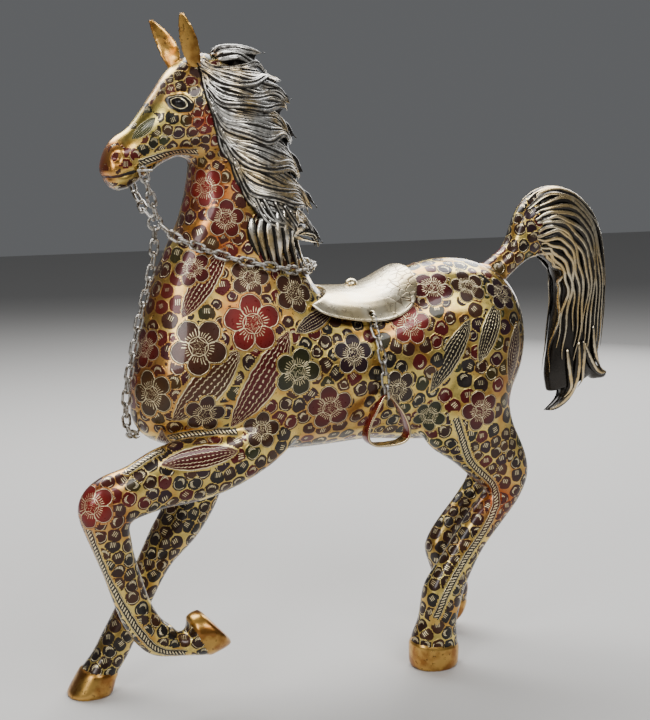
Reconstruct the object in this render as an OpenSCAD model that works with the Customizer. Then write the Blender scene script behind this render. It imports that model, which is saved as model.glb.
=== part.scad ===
// Standing brass horse, hollow-cast, with a bolted saddle, chain reins and hanging stirrups.
// +Z is up, the horse faces -X, its left side is -Y, and the hooves stand on Z = 0.

/* [Castings] */
// Thickness of the hollow body casting
wall = 3.2; // [2.4:0.2:4]
// Half width of the barrel at its widest
barrel_w = 43; // [40:1:44]
// Half width of the neck behind the jaw
neck_w = 19; // [17:0.5:21]
// Thickness of the leaf-shaped ears
ear_t = 2.6; // [2:0.2:4]

/* [Saddle] */
// Thickness of the saddle plate
plate_t = 2; // [1.6:0.2:2.6]
// Diameter of the dome-headed saddle screw's shank
screw_d = 4; // [3:0.5:5]
// Diameter of its head
screw_head_d = 8; // [7:0.5:9]
// Diameter of the hole that each stirrup ring passes through
ring_hole_d = 3.2; // [2.8:0.2:3.6]

/* [Chains] */
// Diameter of the chain wire
wire_d = 1.6; // [1.2:0.1:1.7]
// Distance from one link to the next
pitch = 7.5; // [7.4:0.1:7.6]
// Outside width of a link
link_w = 6; // [5.8:0.1:6.4]

/* [Stirrups] */
// Height of the stirrup
stirrup_h = 32; // [28:1:34]
// Width of the stirrup across its shoulders
stirrup_w = 30; // [24:1:30]
// Breadth of the tread
tread_b = 9; // [6:0.5:10]

/* [Hidden] */

LACQUER = "sienna";
BRASS = "goldenrod";
HAIR = "dimgray";
STEEL = "silver";

LEFT = -1;
RIGHT = 1;

// ---- Profiles: each row is [upper or front x, z, lower or rear x, z, centre y, half width] ----

BODY = [
    [111, 225, 112, 199, 0, 9],
    [106.5, 241, 108, 185, 0, 23],
    [100, 251, 101, 173, 0, 32],
    [91, 258, 91, 161, 0, 38.5],
    [74, 264, 72, 150, 0, 41.5],
    [52, 265, 48, 147, 0, 41.5],
    [32, 260, 22, 149, 0, 42],
    [14, 251, -2, 152, 0, barrel_w],
    [-6, 246, -22, 152, 0, barrel_w],
    [-22, 246, -44, 151, 0, barrel_w],
    [-33, 250, -72, 152, 0, 42],
    [-40, 259, -104, 156, 0, 41],
    [-43, 268, -134, 161, 0, 39],
    [-46, 275, -149, 171, 0, 37],
    [-48, 283, -153, 185, 0, 34.5],
    [-50, 292, -152, 202, 0, 31.5],
    [-52, 302, -147, 224, 0, 28],
    [-55, 315, -140, 252, 0, 24.5],
    [-59, 331, -129, 276, 0, 22],
    [-64, 346, -121, 292, 0, 20.5],
    [-70, 361, -117, 306, 0, 19.5],
    [-78, 375, -114, 318, 0, neck_w],
    [-90, 386, -113, 328, 0, neck_w]];

HEAD = [
    [-90, 386, -113, 328, 0, neck_w],
    [-105, 391, -116, 330, 0, 20],
    [-117, 387, -121, 331, 0, 19.5],
    [-126, 380, -127, 329, 0, 18],
    [-134, 369, -133, 326, 0, 15.5],
    [-142, 358, -138, 322, 0, 13.5],
    [-150, 348, -143, 319, 0, 12],
    [-158, 342, -149, 315, 0, 12],
    [-163, 337, -154, 313, 0, 12.5],
    [-166, 329, -158, 312, 0, 11],
    [-167, 324, -162, 315, 0, 7]];

LEFT_FORELEG = [
    [-70, 192, -58, 160, -24, 11],
    [-92, 178, -74, 148, -25, 13],
    [-112, 171, -95, 138, -26, 14],
    [-132, 169, -118, 131, -26, 13],
    [-149, 164, -141, 129, -26, 12],
    [-164, 156, -155, 126, -26, 11.5],
    [-178, 152, -161, 124, -26, 12],
    [-189, 144, -163, 122, -26, 12],
    [-193, 133, -163, 119, -26, 11.5],
    [-190, 121, -162, 114, -26, 10.5],
    [-185, 108, -161, 106, -26, 9.5],
    [-179, 92, -157, 92, -26, 8.5],
    [-173, 73, -152, 75, -26, 8.5],
    [-166, 56, -145, 62, -26, 10],
    [-156, 43, -138, 56, -26, 10],
    [-146, 38.5, -135, 52, -26, 8.5],
    [-134, 37, -130, 51, -26, 9],
    [-123, 35.5, -128, 54.5, -26, 10.5],
    [-115.5, 35, -129.5, 58.5, -26, 12],
    [-102, 40.5, -121.5, 62, -26, 13]];

RIGHT_FORELEG = [
    [-112, 196, -66, 182, 22, 11],
    [-118, 172, -76, 155, 24, 13],
    [-119, 148, -84, 132, 25, 13.5],
    [-121, 128, -92, 112, 25, 12.5],
    [-127, 113, -101, 98, 25, 12],
    [-134, 101, -109, 89, 25, 12],
    [-141, 87, -121, 78, 25, 10],
    [-148, 73, -129, 66, 25, 8.8],
    [-155, 60, -136, 53, 25, 9],
    [-161, 48, -141, 42, 25, 10.5],
    [-168, 36, -147, 31, 25, 10.5],
    [-175, 24, -153, 20, 25, 10],
    [-183, 14, -160, 10, 25, 12],
    [-191, 0, -163, 0, 25, 13.5]];

LEFT_HIND_LEG = [
    [98, 238, 48, 220, -20, 11],
    [102, 213, 32, 192, -25, 17],
    [97, 190, 27, 171, -26.5, 17.5],
    [93, 174, 29, 156, -27, 16.5],
    [97, 158, 38, 145, -27, 15],
    [103, 146, 52, 136, -27, 13.5],
    [108, 133, 66, 124, -27, 12.5],
    [108, 121, 77, 114, -27, 12],
    [101, 106, 79, 113, -27, 11],
    [90, 92, 69, 103, -27, 9.5],
    [76, 76, 57, 88, -27, 9],
    [67, 61, 45, 71, -27, 9.5],
    [61, 48, 34, 56, -27, 11],
    [58, 37, 31, 42, -27, 11],
    [56, 26, 29, 31, -27, 10.5],
    [57, 13, 24, 18, -27, 13],
    [56, 0, 25, 0, -27, 14]];

RIGHT_HIND_LEG = [
    [106, 232, 60, 222, 20, 11],
    [112, 206, 48, 194, 25, 17],
    [110, 184, 46, 171, 26, 17],
    [112, 164, 56, 152, 26, 15],
    [121, 148, 76, 136, 26, 13.5],
    [130, 134, 94, 122, 26, 12.5],
    [128, 120, 99, 115, 26, 11.5],
    [115, 98, 96, 104, 26, 10],
    [101, 79, 83, 89, 26, 9],
    [89, 62, 70, 74, 26, 9.5],
    [88, 50, 64, 61, 26, 11],
    [91, 42, 67, 49, 26, 10.5],
    [94, 36, 71, 37, 26, 10.5],
    [97, 30, 71, 28, 26, 12.5],
    [93, 16, 74, 0, 26, 12]];

DOCK = [
    [80, 256, 96, 234, 0, 9],
    [92, 262, 101, 243, 0, 9],
    [100, 267, 106, 249, 0, 8.5],
    [107, 274, 114, 256, 0, 9],
    [111, 286, 124, 262, 0, 10],
    [117, 298, 129, 263, 0, 11.5],
    [126, 306, 132, 262, 0, 12.5]];

HAIR_FALL = [
    [126, 306, 132, 262, 0, 12.5],
    [140, 310, 136, 260, 0, 13],
    [157, 306, 141, 255, 0, 13],
    [170, 297, 144, 247, 0, 13],
    [180, 281, 145, 238, 0, 13],
    [185, 259, 145, 228, 0, 12.5],
    [187, 236, 143, 215, 0, 12],
    [186, 210, 141, 199, 0, 11],
    [184, 190, 139, 181, 0, 10],
    [178, 178, 142, 168, 0, 8]];

// ---- Saddle: each row is [crest x, crest z, lower edge x, lower edge z, lower edge y] ----

SADDLE = [
    [-30, 251.5, -51, 245, 35],
    [-25, 251.2, -46, 240.5, 37],
    [-18, 251, -36.5, 236.8, 38],
    [-10, 251, -21, 233.7, 38.5],
    [-2, 251.6, -8.5, 232.7, 38.5],
    [8, 254.5, 2.5, 233.7, 38.5],
    [16, 258.5, 12, 237, 37.5],
    [22, 261.5, 19.5, 243, 35],
    [27, 263, 24.5, 253, 28]];
SADDLE_ARC = 68;
SCREW_X = -8;
SADDLE_TOP = 251.6;
BOSS_D = 10;
BOSS_LOW = 234;
RING_HOLE = [-11, 35.2, 237];

// ---- Ears: base, tip and the direction across the leaf ----

EARS = [
    [[-112, -12, 379], [-121.5, -14, 411], [0.85, -0.45, 0.2]],
    [[-118, 10.5, 379.5], [-131, 14, 409], [0.85, 0.45, 0.2]]];
EAR_HALF = 5.4;

// ---- Mane: how far round the neck it reaches, and its locks as [root x, z, tip x, tip z, root radius] ----

MANE_FROM = 15;
MANE_T = 4.5;
CREST_T = 9;
MANE_LEFT = [58, 92];
MANE_RIGHT = 40;
LOCKS = [
    [-94.6, 388.4, -66, 391, 5.4],
    [-84, 383, -70, 383, 6],
    [-74, 375, -49, 364, 5],
    [-67, 362, -55, 358, 5.5],
    [-63, 353, -47, 342, 5],
    [-59, 342, -52, 337, 5],
    [-57, 334, -42, 321, 5],
    [-53, 320, -47, 316, 5],
    [-51, 312, -33, 300, 5],
    [-49, 299, -42, 296, 5],
    [-47, 292, -29, 278, 5]];
LOCK_Y = -3.8;

// ---- Curls at the end of the tail, as [x, y, z, radius] ----

CURLS = [
    [[170, 0, 190, 9], [181, 0, 180, 6], [189, -1, 178, 3.5], [191.7, -1, 180.5, 1.5]],
    [[156, 0, 182, 9], [160, 0, 171, 7], [157, 1, 163, 5], [148.5, 1, 157.5, 3.6], [141.8, 1, 155.6, 1.4]]];

// ---- Chains: routes of points, each with its number of links ----

LINK_PLAY = 0.15;
LINK_L = pitch + 2 * wire_d + LINK_PLAY;
BIT_D = 1.8;
BIT_AT = [-146, 0, 324];
BIT_HALF = 17.5;
BIT_T_L = 9;
CHEEK_Y = 12.8;
JUNCTION = [-138, -9, 293.8];
JUNCTION_R = 4;
HOOK = JUNCTION_R - (wire_d + LINK_PLAY) / 2;
CREST_LINK = [-37, 0, 266];

function on_junction(a) = JUNCTION + HOOK * [cos(a), 0, sin(a)];

CHEEK_LEFT = [BIT_AT + [0, -CHEEK_Y, 1.1], on_junction(70)];
CHEEK_LEFT_LINKS = 4;
CHEEK_RIGHT = [
    BIT_AT + [0, CHEEK_Y, 1.1], [-145.5, 9, 314], [-143.4, 1, 305], [-143, -8.3, 299.2], on_junction(128)];
CHEEK_RIGHT_LINKS = 5;
CHEEK_RIGHT_TURN = 75;
REIN_NEAR = [
    on_junction(-20), [-129, -12.5, 286.5], [-121.5, -20.5, 282.3], [-113.7, -25.8, 278.7],
    [-99, -30.4, 273.6], [-84, -32, 270], [-70, -31.5, 267], [-58, -28.5, 264.5],
    [-49, -24.5, 264.3], [-42, -16, 265.4], [-38.5, -8, 266], CREST_LINK];
REIN_NEAR_LINKS = 17;
REIN_FAR = [
    on_junction(-95), [-139, -8.5, 277], [-141.5, -8, 263], [-146, -7.5, 247], [-149.5, -7, 232],
    [-152.5, -6.5, 217], [-155.5, -6, 203], [-157, -5, 190], [-156.5, -3, 179], [-153.5, 3, 169.5],
    [-147, 12, 165], [-140.5, 22, 169], [-135, 31.5, 182], [-127, 36.8, 196], [-115, 40, 210],
    [-102, 41.2, 222], [-90, 41, 233], [-78, 39.5, 242], [-65, 36, 251.5], [-53.5, 29.5, 259],
    [-44.5, 21, 263], [-38.8, 11, 265.5], CREST_LINK];
REIN_FAR_LINKS = 43;
REIN_FAR_TURN = 89.5;

STIRRUP_LINKS = 6;
RING_WIRE = 1.2;
RING_R = 4.1;
RING_AT = [-11, 37, 232.9];
STIRRUP_CHAIN = [
    [-11, 37.1, 229.7], [-10.4, 41.4, 223.2], [-9.7, 44.6, 216.4], [-9, 46.5, 209.2], [-8.2, 47.1, 201.7],
    [-7.4, 47.3, 194.2], [-6.6, 47.3, 186.8]];
// Thickness of a stirrup's band
STIRRUP_T = 1.9;
// The half outline of a stirrup from its top to the middle of the tread: shares of its half width, of its
// height and of its breadth
STIRRUP_HALF = [
    [0, 0, 0.15], [0.2, 0.035, 0.36], [0.54, 0.25, 0.72], [0.85, 0.5, 0.8], [1, 0.72, 0.9],
    [0.93, 0.88, 0.98], [0.6, 0.975, 1], [0, 1, 1]];

// ---- Curves and lofts ----

function unit(v) = v / norm(v);

function catmull(a, b, c, d, t) =
    (2 * b + (c - a) * t + (2 * a - 5 * b + 4 * c - d) * t * t + (3 * b - a - 3 * c + d) * t * t * t) / 2;

// The rows with steps - 1 smooth rows added between each pair
function smooth_rows(rows, steps) = [
    for (i = [0:len(rows) - 2], j = [0:steps - 1])
        catmull(rows[max(i - 1, 0)], rows[i], rows[i + 1], rows[min(i + 2, len(rows) - 1)], j / steps),
    rows[len(rows) - 1]];

// A point at angle a round a row's oval, where 0 is the upper point and 90 its side; out grows the oval
function oval_point(row, side, a, out = 0) =
    let (top = [row[0], 0, row[1]], low = [row[2], 0, row[3]], half = norm(top - low) / 2 + out)
    (top + low) / 2 + unit(top - low) * half * cos(a)
        + [0, row[4] + side * (row[5] + out) * pow(abs(sin(a)), 0.9) * sign(sin(a)), 0];

function oval(row, sides) = [for (i = [0:sides - 1]) oval_point(row, LEFT, i * 360 / sides)];

function half_oval(row, sides, out) = [
    for (i = [0:sides])
        let (p = oval_point(row, RIGHT, i * 180 / sides, out)) [p[0], i % sides == 0 ? 0 : p[1], p[2]]];

// Triangles between a ring of n points numbered from base and the next ring
function band(base, n, closed, flip) = [
    for (j = [0:n - (closed ? 1 : 2)])
        let (a = base + j, b = base + (j + 1) % n)
        each flip ? [[a, b + n, b], [a, a + n, b + n]] : [[a, b, b + n], [a, b + n, a + n]]];

// A closed solid through a list of rings; the ends of a folded sheet are closed with a strip
module loft(rings, flip = false, sheet = false) {
    n = len(rings[0]);
    last = (len(rings) - 1) * n;
    start = sheet
        ? [for (j = [0:n / 2 - 2]) each [[j, n - 1 - j, j + 1], [j + 1, n - 1 - j, n - 2 - j]]]
        : [for (j = [1:n - 2]) flip ? [0, j, j + 1] : [0, j + 1, j]];
    end = [for (f = start) [last + f[0], last + f[2], last + f[1]]];
    polyhedron([for (r = rings) each r],
        concat([for (i = [0:len(rings) - 2]) each band(i * n, n, true, flip)], start, end));
}

module limb(rows, flip = false, sides = 14) {
    loft([for (row = smooth_rows(rows, 2)) oval(row, sides)], flip);
}

// The right half of a hollow casting: closed along the middle seam and at its first row, open at its last
module half_shell(rows, sides = 12) {
    n = sides + 1;
    m = len(rows);
    k = m * n;
    // The cavity ends two walls short of the first row, because the casting rounds off there
    inner = [for (row = rows)
        [min(row[0], rows[0][0] - 2 * wall), row[1], min(row[2], rows[0][2] - 2 * wall), row[3], row[4], row[5]]];
    seam = [for (i = [0:m - 2], e = [0, sides])
        let (a = i * n + e, b = a + n)
        each e == 0 ? [[a, b + k, b], [a, a + k, b + k]] : [[a, b, b + k], [a, b + k, a + k]]];
    open_end = [for (j = [0:sides - 1])
        let (a = (m - 1) * n + j, b = a + 1)
        each [[a, b + k, b], [a, a + k, b + k]]];
    outer_cap = [for (j = [1:sides - 1]) [0, j, j + 1]];
    inner_cap = [for (f = outer_cap) [k + f[0], k + f[2], k + f[1]]];
    cap_seam = [[0, sides, k + sides], [0, k + sides, k]];
    polyhedron(
        concat([for (row = rows) each half_oval(row, sides, 0)],
            [for (row = inner) each half_oval(row, sides, -wall)]),
        concat([for (i = [0:m - 2]) each band(i * n, n, false, true)],
            [for (i = [0:m - 2]) each band(k + i * n, n, false, false)],
            seam, open_end, outer_cap, inner_cap, cap_seam));
}

// ---- Chain links ----

// Moves a link, whose length is along Z and whose loop lies in the XZ plane, to lie along a direction
module along(at, w, across) {
    v = unit(cross(w, across));
    u = cross(v, w);
    multmatrix([[u[0], v[0], w[0], at[0]], [u[1], v[1], w[1], at[1]], [u[2], v[2], w[2], at[2]]])
        children();
}

module link(length = LINK_L, width = link_w, wire = wire_d) {
    bend = (width - wire) / 2;
    rise = length / 2 - width / 2;
    for (s = [-1, 1]) {
        translate([s * bend, 0, -rise]) cylinder(d = wire, h = 2 * rise, $fn = 24);
        translate([0, 0, s * rise]) rotate([90, 0, 0]) rotate([0, 0, s > 0 ? 0 : 180])
            rotate_extrude(angle = 180, $fn = 32) translate([bend, 0]) circle(d = wire, $fn = 24);
    }
}

// A round ring in the plane whose normal is axis
module ring(at, axis, radius, wire) {
    along(at, unit(axis), cross(axis, [axis[1], axis[2], axis[0] + 1]))
        rotate_extrude($fn = 48) translate([radius, 0]) circle(d = wire, $fn = 24);
}

function path_length(points, i = 1) =
    i >= len(points) ? 0 : norm(points[i] - points[i - 1]) + path_length(points, i + 1);

// The point at distance s along a list of points
function point_at(points, s, i = 1) =
    let (d = norm(points[i] - points[i - 1]))
    s <= d || i == len(points) - 1
        ? points[i - 1] + (points[i] - points[i - 1]) * s / d
        : point_at(points, s - d, i + 1);

// The points where the links of a chain of n links meet
function link_joints(route, n) =
    let (curve = smooth_rows(route, 6), total = path_length(curve))
    [for (i = [0:n]) point_at(curve, total * i / n)];

// The direction across link i, carried along the chain from start without twist
function carried(joints, i, start) =
    let (w = unit(joints[i + 1] - joints[i]), before = i == 0 ? start : carried(joints, i - 1, start))
    unit(before - w * (before * w));

// A chain of n links, each turned from the one before it, with the first lying across start
module chain(route, n, start, turn = 90) {
    joints = link_joints(route, n);
    for (i = [0:n - 1]) {
        w = unit(joints[i + 1] - joints[i]);
        flat = carried(joints, i, start);
        along((joints[i] + joints[i + 1]) / 2, w, flat * cos(i * turn) + cross(w, flat) * sin(i * turn)) link();
    }
}

// ---- Castings ----

// The boss passes through the back, half in each shell
module body_shell() {
    color(LACQUER) difference() {
        half_shell(smooth_rows(BODY, 2));
        translate([SCREW_X, 0, BOSS_LOW - 1]) cylinder(d = BOSS_D, h = 40, $fn = 48);
    }
}

module body_shell_right() {
    body_shell();
}

module body_shell_left() {
    mirror([0, 1, 0]) body_shell();
}

// The bit's hole runs right through the corners of the mouth
module head() {
    color(LACQUER) difference() {
        limb(HEAD, sides = 20);
        translate(BIT_AT) rotate([90, 0, 0]) cylinder(d = BIT_D + 0.12, h = 60, center = true, $fn = 32);
    }
}

// A leaf: wide below its middle and pointed at the tip
module ear(shape) {
    axis = shape[1] - shape[0];
    wide = unit(shape[2] - axis * (shape[2] * axis) / (axis * axis));
    thin = cross(unit(axis), wide);
    steps = 10;
    color(BRASS) loft(flip = true, rings = [
        for (i = [0:steps])
            let (t = i / steps, half = EAR_HALF * pow(sin(20 + 150 * t), 0.8), thick = ear_t / 2 * (1 - 0.55 * t))
            [for (j = [0:11])
                shape[0] + axis * t + wide * half * cos(j * 30) + thin * thick * sin(j * 30)]]);
}

module left_ear() {
    ear(EARS[0]);
}

module right_ear() {
    ear(EARS[1]);
}

// A ring of the mane: out round the crest and back along the skin of the neck; height is 0 at the withers
function mane_ring(row, height) =
    let (steps = 12, reach = MANE_LEFT[0] + (MANE_LEFT[1] - MANE_LEFT[0]) * height,
        turn = (reach + MANE_RIGHT) / steps)
    concat(
        [for (i = [0:steps])
            let (a = i * turn - MANE_RIGHT,
                out = (i == 0 || i == steps) ? 1 : MANE_T + (CREST_T - MANE_T) * exp(-pow(a / 24, 2)))
            oval_point(row, LEFT, a, out)],
        [for (i = [steps:-1:0]) oval_point(row, LEFT, i * turn - MANE_RIGHT, -0.6)]);

module ball(at, r) {
    translate(at) sphere(r, $fn = 10);
}

module lock_of_hair(lock) {
    root = [lock[0], LOCK_Y, lock[1]];
    tip = [lock[2], LOCK_Y, lock[3]];
    bend = (root + tip) / 2 + [1.5, 0, 1.5];
    hull() {
        ball(root, lock[4]);
        ball(bend, lock[4] * 0.7);
    }
    hull() {
        ball(bend, lock[4] * 0.7);
        ball(tip, 1.2);
    }
}

module mane() {
    rows = smooth_rows([for (i = [MANE_FROM:len(BODY) - 1]) BODY[i]], 2);
    color(HAIR) union() {
        loft([for (i = [0:len(rows) - 1]) mane_ring(rows[i], i / (len(rows) - 1))], sheet = true);
        for (lock = LOCKS) lock_of_hair(lock);
    }
}

module left_foreleg() {
    color(LACQUER) limb(LEFT_FORELEG);
}

module right_foreleg() {
    color(LACQUER) limb(RIGHT_FORELEG);
}

module left_hind_leg() {
    color(LACQUER) limb(LEFT_HIND_LEG, true);
}

module right_hind_leg() {
    color(LACQUER) limb(RIGHT_HIND_LEG, true);
}

module tail_dock() {
    color(LACQUER) limb(DOCK, true, 16);
}

module tail_hair() {
    color(HAIR) union() {
        limb(HAIR_FALL, true, 16);
        for (curl = CURLS, i = [1:len(curl) - 1]) hull() {
            ball([for (k = [0:2]) curl[i - 1][k]], curl[i - 1][3]);
            ball([for (k = [0:2]) curl[i][k]], curl[i][3]);
        }
    }
}

// ---- Saddle ----

// A point of the saddle plate: t runs from -1 at the left edge over the crest to 1 at the right edge
function saddle_point(row, t, drop) =
    let (fall = (1 - cos(abs(t) * SADDLE_ARC)) / (1 - cos(SADDLE_ARC)),
        swing = sin(t * SADDLE_ARC) / sin(SADDLE_ARC))
    [row[0] + (row[2] - row[0]) * fall, (row[4] - drop * 0.6) * swing, row[1] - (row[1] - row[3]) * fall
        - drop * (1 - 0.55 * abs(t))];

function saddle_ring(row, steps = 16) = concat(
    [for (i = [0:steps]) saddle_point(row, 2 * i / steps - 1, 0)],
    [for (i = [steps:-1:0]) saddle_point(row, 2 * i / steps - 1, plate_t)]);

module saddle() {
    color(BRASS) difference() {
        loft([for (row = smooth_rows(SADDLE, 2)) saddle_ring(row)], sheet = true);
        translate([SCREW_X, 0, SADDLE_TOP - 10]) cylinder(d = screw_d + 0.4, h = 20, $fn = 32);
        for (side = [LEFT, RIGHT])
            translate([RING_HOLE[0], side * RING_HOLE[1], RING_HOLE[2]]) rotate([side * -62, 0, 0])
                cylinder(d = ring_hole_d, h = 14, center = true, $fn = 32);
    }
}

module saddle_boss() {
    color(BRASS) translate([SCREW_X, 0, BOSS_LOW]) difference() {
        cylinder(d = BOSS_D, h = SADDLE_TOP - plate_t - 1.2 - BOSS_LOW, $fn = 48);
        translate([0, 0, -1]) cylinder(d = screw_d, h = 30, $fn = 32);
    }
}

// A cap cut from a sphere, on a plain shank
module saddle_screw() {
    head_h = screw_head_d * 0.42;
    r = (screw_head_d * screw_head_d / 4 + head_h * head_h) / (2 * head_h);
    color(BRASS) translate([SCREW_X, 0, SADDLE_TOP]) {
        intersection() {
            translate([0, 0, head_h - r]) sphere(r, $fn = 64);
            cylinder(r = r, h = head_h + 1, $fn = 64);
        }
        translate([0, 0, BOSS_LOW + 2 - SADDLE_TOP])
            cylinder(d = screw_d, h = SADDLE_TOP - BOSS_LOW - 2, $fn = 32);
    }
}

// ---- Bridle chains ----

module bit_bar() {
    color(STEEL) translate(BIT_AT) {
        rotate([90, 0, 0]) cylinder(d = BIT_D, h = 2 * BIT_HALF, center = true, $fn = 32);
        for (side = [LEFT, RIGHT])
            translate([0, side * BIT_HALF, 0]) rotate([0, 90, 0])
                cylinder(d = BIT_D, h = BIT_T_L, center = true, $fn = 32);
    }
}

module cheek_chain_left() {
    color(STEEL) chain(CHEEK_LEFT, CHEEK_LEFT_LINKS, [1, 0, 0]);
}

module cheek_chain_right() {
    color(STEEL) chain(CHEEK_RIGHT, CHEEK_RIGHT_LINKS, [1, 0, 0], CHEEK_RIGHT_TURN);
}

module junction_ring() {
    color(STEEL) ring(JUNCTION, [0, 1, 0], JUNCTION_R, wire_d);
}

module rein_near() {
    color(STEEL) chain(REIN_NEAR, REIN_NEAR_LINKS, [0, 1, 0]);
}

module rein_far() {
    color(STEEL) chain(REIN_FAR, REIN_FAR_LINKS, [0, 1, 0], REIN_FAR_TURN);
}

// ---- Stirrups ----

function mirrored(p, side) = [p[0], side * p[1], p[2]];

module hook_ring(side) {
    color(STEEL) ring(mirrored(RING_AT, side), [1, 0, 0], RING_R, RING_WIRE);
}

// Link i of a stirrup chain, counted from the top
module stirrup_link(side, i) {
    joints = [for (p = link_joints(STIRRUP_CHAIN, STIRRUP_LINKS)) mirrored(p, side)];
    w = unit(joints[i] - joints[i - 1]);
    color(STEEL) along((joints[i] + joints[i - 1]) / 2, w, i % 2 == 1 ? [1, 0, 0] : [0, 1, 0]) link();
}

// The loop hangs from its narrow top and broadens into the tread
module stirrup(side) {
    top = mirrored(STIRRUP_CHAIN[STIRRUP_LINKS], side) + [0, 0, STIRRUP_T / 2 + 2 * LINK_PLAY];
    half = smooth_rows(STIRRUP_HALF, 4);
    last = len(half) - 1;
    loop_rows = concat(half, [for (i = [last - 1:-1:1]) [-half[i][0], half[i][1], half[i][2]]]);
    count = len(loop_rows);
    middle = [for (row = loop_rows) [row[0] * (stirrup_w - STIRRUP_T) / 2, -row[1] * (stirrup_h - STIRRUP_T)]];
    rings = [
        for (i = [0:count - 1])
            let (way = unit(middle[(i + 1) % count] - middle[(i + count - 1) % count]),
                out = [-way[1], way[0]] * STIRRUP_T / 2, b = loop_rows[i][2] * tread_b / 2)
            [for (c = [[-1, -1], [1, -1], [1, 1], [-1, 1]])
                top + [middle[i][0] + c[0] * out[0], c[1] * b, middle[i][1] + c[0] * out[1]]]];
    color(LACQUER) polyhedron([for (r = rings) each r], [
        for (i = [0:count - 1], j = [0:3])
            let (a = i * 4 + j, b = i * 4 + (j + 1) % 4, c = ((i + 1) % count) * 4)
            each [[a, b, c + (j + 1) % 4], [a, c + (j + 1) % 4, c + j]]]);
}

body_shell_left();
body_shell_right();
head();
left_ear();
right_ear();
mane();
left_foreleg();
right_foreleg();
left_hind_leg();
right_hind_leg();
tail_dock();
tail_hair();
saddle();
saddle_boss();
saddle_screw();
bit_bar();
cheek_chain_left();
cheek_chain_right();
junction_ring();
rein_near();
rein_far();
hook_ring(LEFT);  // left_hook_ring
hook_ring(RIGHT);  // right_hook_ring
stirrup_link(LEFT, 1);  // left_stirrup_link_1
stirrup_link(LEFT, 2);  // left_stirrup_link_2
stirrup_link(LEFT, 3);  // left_stirrup_link_3
stirrup_link(LEFT, 4);  // left_stirrup_link_4
stirrup_link(LEFT, 5);  // left_stirrup_link_5
stirrup_link(LEFT, 6);  // left_stirrup_link_6
stirrup_link(RIGHT, 1);  // right_stirrup_link_1
stirrup_link(RIGHT, 2);  // right_stirrup_link_2
stirrup_link(RIGHT, 3);  // right_stirrup_link_3
stirrup_link(RIGHT, 4);  // right_stirrup_link_4
stirrup_link(RIGHT, 5);  // right_stirrup_link_5
stirrup_link(RIGHT, 6);  // right_stirrup_link_6
stirrup(LEFT);  // left_stirrup
stirrup(RIGHT);  // right_stirrup
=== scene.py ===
# The looks of a cast brass horse: engraved lacquer skin, ridged mane and tail, saddle and stirrups.
# Places in the lists are in millimetres, in the frame's own axes: -X is forward, -Y is the horse's left.
import itertools
import math
from collections import namedtuple

import bpy
import numpy as np
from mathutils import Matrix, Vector
from mathutils.bvhtree import BVHTree
from mathutils.kdtree import KDTree


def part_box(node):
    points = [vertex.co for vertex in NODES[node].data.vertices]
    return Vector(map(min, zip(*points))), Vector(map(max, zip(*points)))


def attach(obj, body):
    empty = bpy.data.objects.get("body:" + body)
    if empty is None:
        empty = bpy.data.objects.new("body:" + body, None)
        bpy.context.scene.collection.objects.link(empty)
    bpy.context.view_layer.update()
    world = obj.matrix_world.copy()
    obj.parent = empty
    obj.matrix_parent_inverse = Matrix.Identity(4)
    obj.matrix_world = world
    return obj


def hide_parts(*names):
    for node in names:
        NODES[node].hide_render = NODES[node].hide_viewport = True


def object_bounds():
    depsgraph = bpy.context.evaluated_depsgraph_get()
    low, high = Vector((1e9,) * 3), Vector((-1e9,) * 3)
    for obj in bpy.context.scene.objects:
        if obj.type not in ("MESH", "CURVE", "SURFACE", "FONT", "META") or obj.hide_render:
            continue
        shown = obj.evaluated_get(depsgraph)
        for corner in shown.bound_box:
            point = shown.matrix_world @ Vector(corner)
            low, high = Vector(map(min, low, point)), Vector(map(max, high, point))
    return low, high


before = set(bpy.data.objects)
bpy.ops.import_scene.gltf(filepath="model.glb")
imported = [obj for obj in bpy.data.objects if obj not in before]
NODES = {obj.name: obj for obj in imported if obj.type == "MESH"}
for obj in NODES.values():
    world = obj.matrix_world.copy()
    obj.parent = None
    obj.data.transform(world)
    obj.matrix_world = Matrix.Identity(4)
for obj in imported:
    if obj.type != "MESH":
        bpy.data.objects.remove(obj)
cad_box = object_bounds()
MM = 0.001
LOW, HIGH = [np.array(corner) / MM for corner in cad_box]
HORSE = "horse"
LEFT = -1
RIGHT = 1
SIDES = (LEFT, RIGHT)
rng = np.random.default_rng(7)


# ---- Camera, floor and light ----


def add_thing(name, data):
    thing = bpy.data.objects.new(name, data)
    bpy.context.scene.collection.objects.link(thing)
    return thing


def look_along(thing, way):
    thing.rotation_mode = "QUATERNION"
    thing.rotation_quaternion = way.to_track_quat("-Z", "Y")


def add_camera():
    azimuth, elevation, distance = math.radians(-25), math.radians(10), 0.8
    target = Vector((-0.026, 0, 0.204))
    level = math.cos(elevation)
    back = Vector((math.sin(azimuth) * level, -math.cos(azimuth) * level, math.sin(elevation)))
    data = bpy.data.cameras.new("camera")
    data.sensor_width = 36
    data.lens = 63.5
    camera = add_thing("camera", data)
    camera.location = target + back * distance
    look_along(camera, -back)
    bpy.context.scene.camera = camera


def add_floor():
    half = 3.0
    mesh = bpy.data.meshes.new("floor")
    corners = [(-half, -half, 0), (half, -half, 0), (half, half, 0), (-half, half, 0)]
    mesh.from_pydata(corners, [], [(0, 1, 2, 3)])
    mesh.materials.append(Graph("floor_paint").finish((0.5, 0.49, 0.475, 1), 0.0, 0.85))
    floor = add_thing("floor", mesh)


def add_light(name, place, size, power):
    data = bpy.data.lights.new(name, "AREA")
    data.shape = "RECTANGLE"
    data.size, data.size_y = size
    data.energy = power
    light = add_thing(name, data)
    light.location = place
    look_along(light, Vector((0, 0, 0.2)) - Vector(place))


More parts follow.
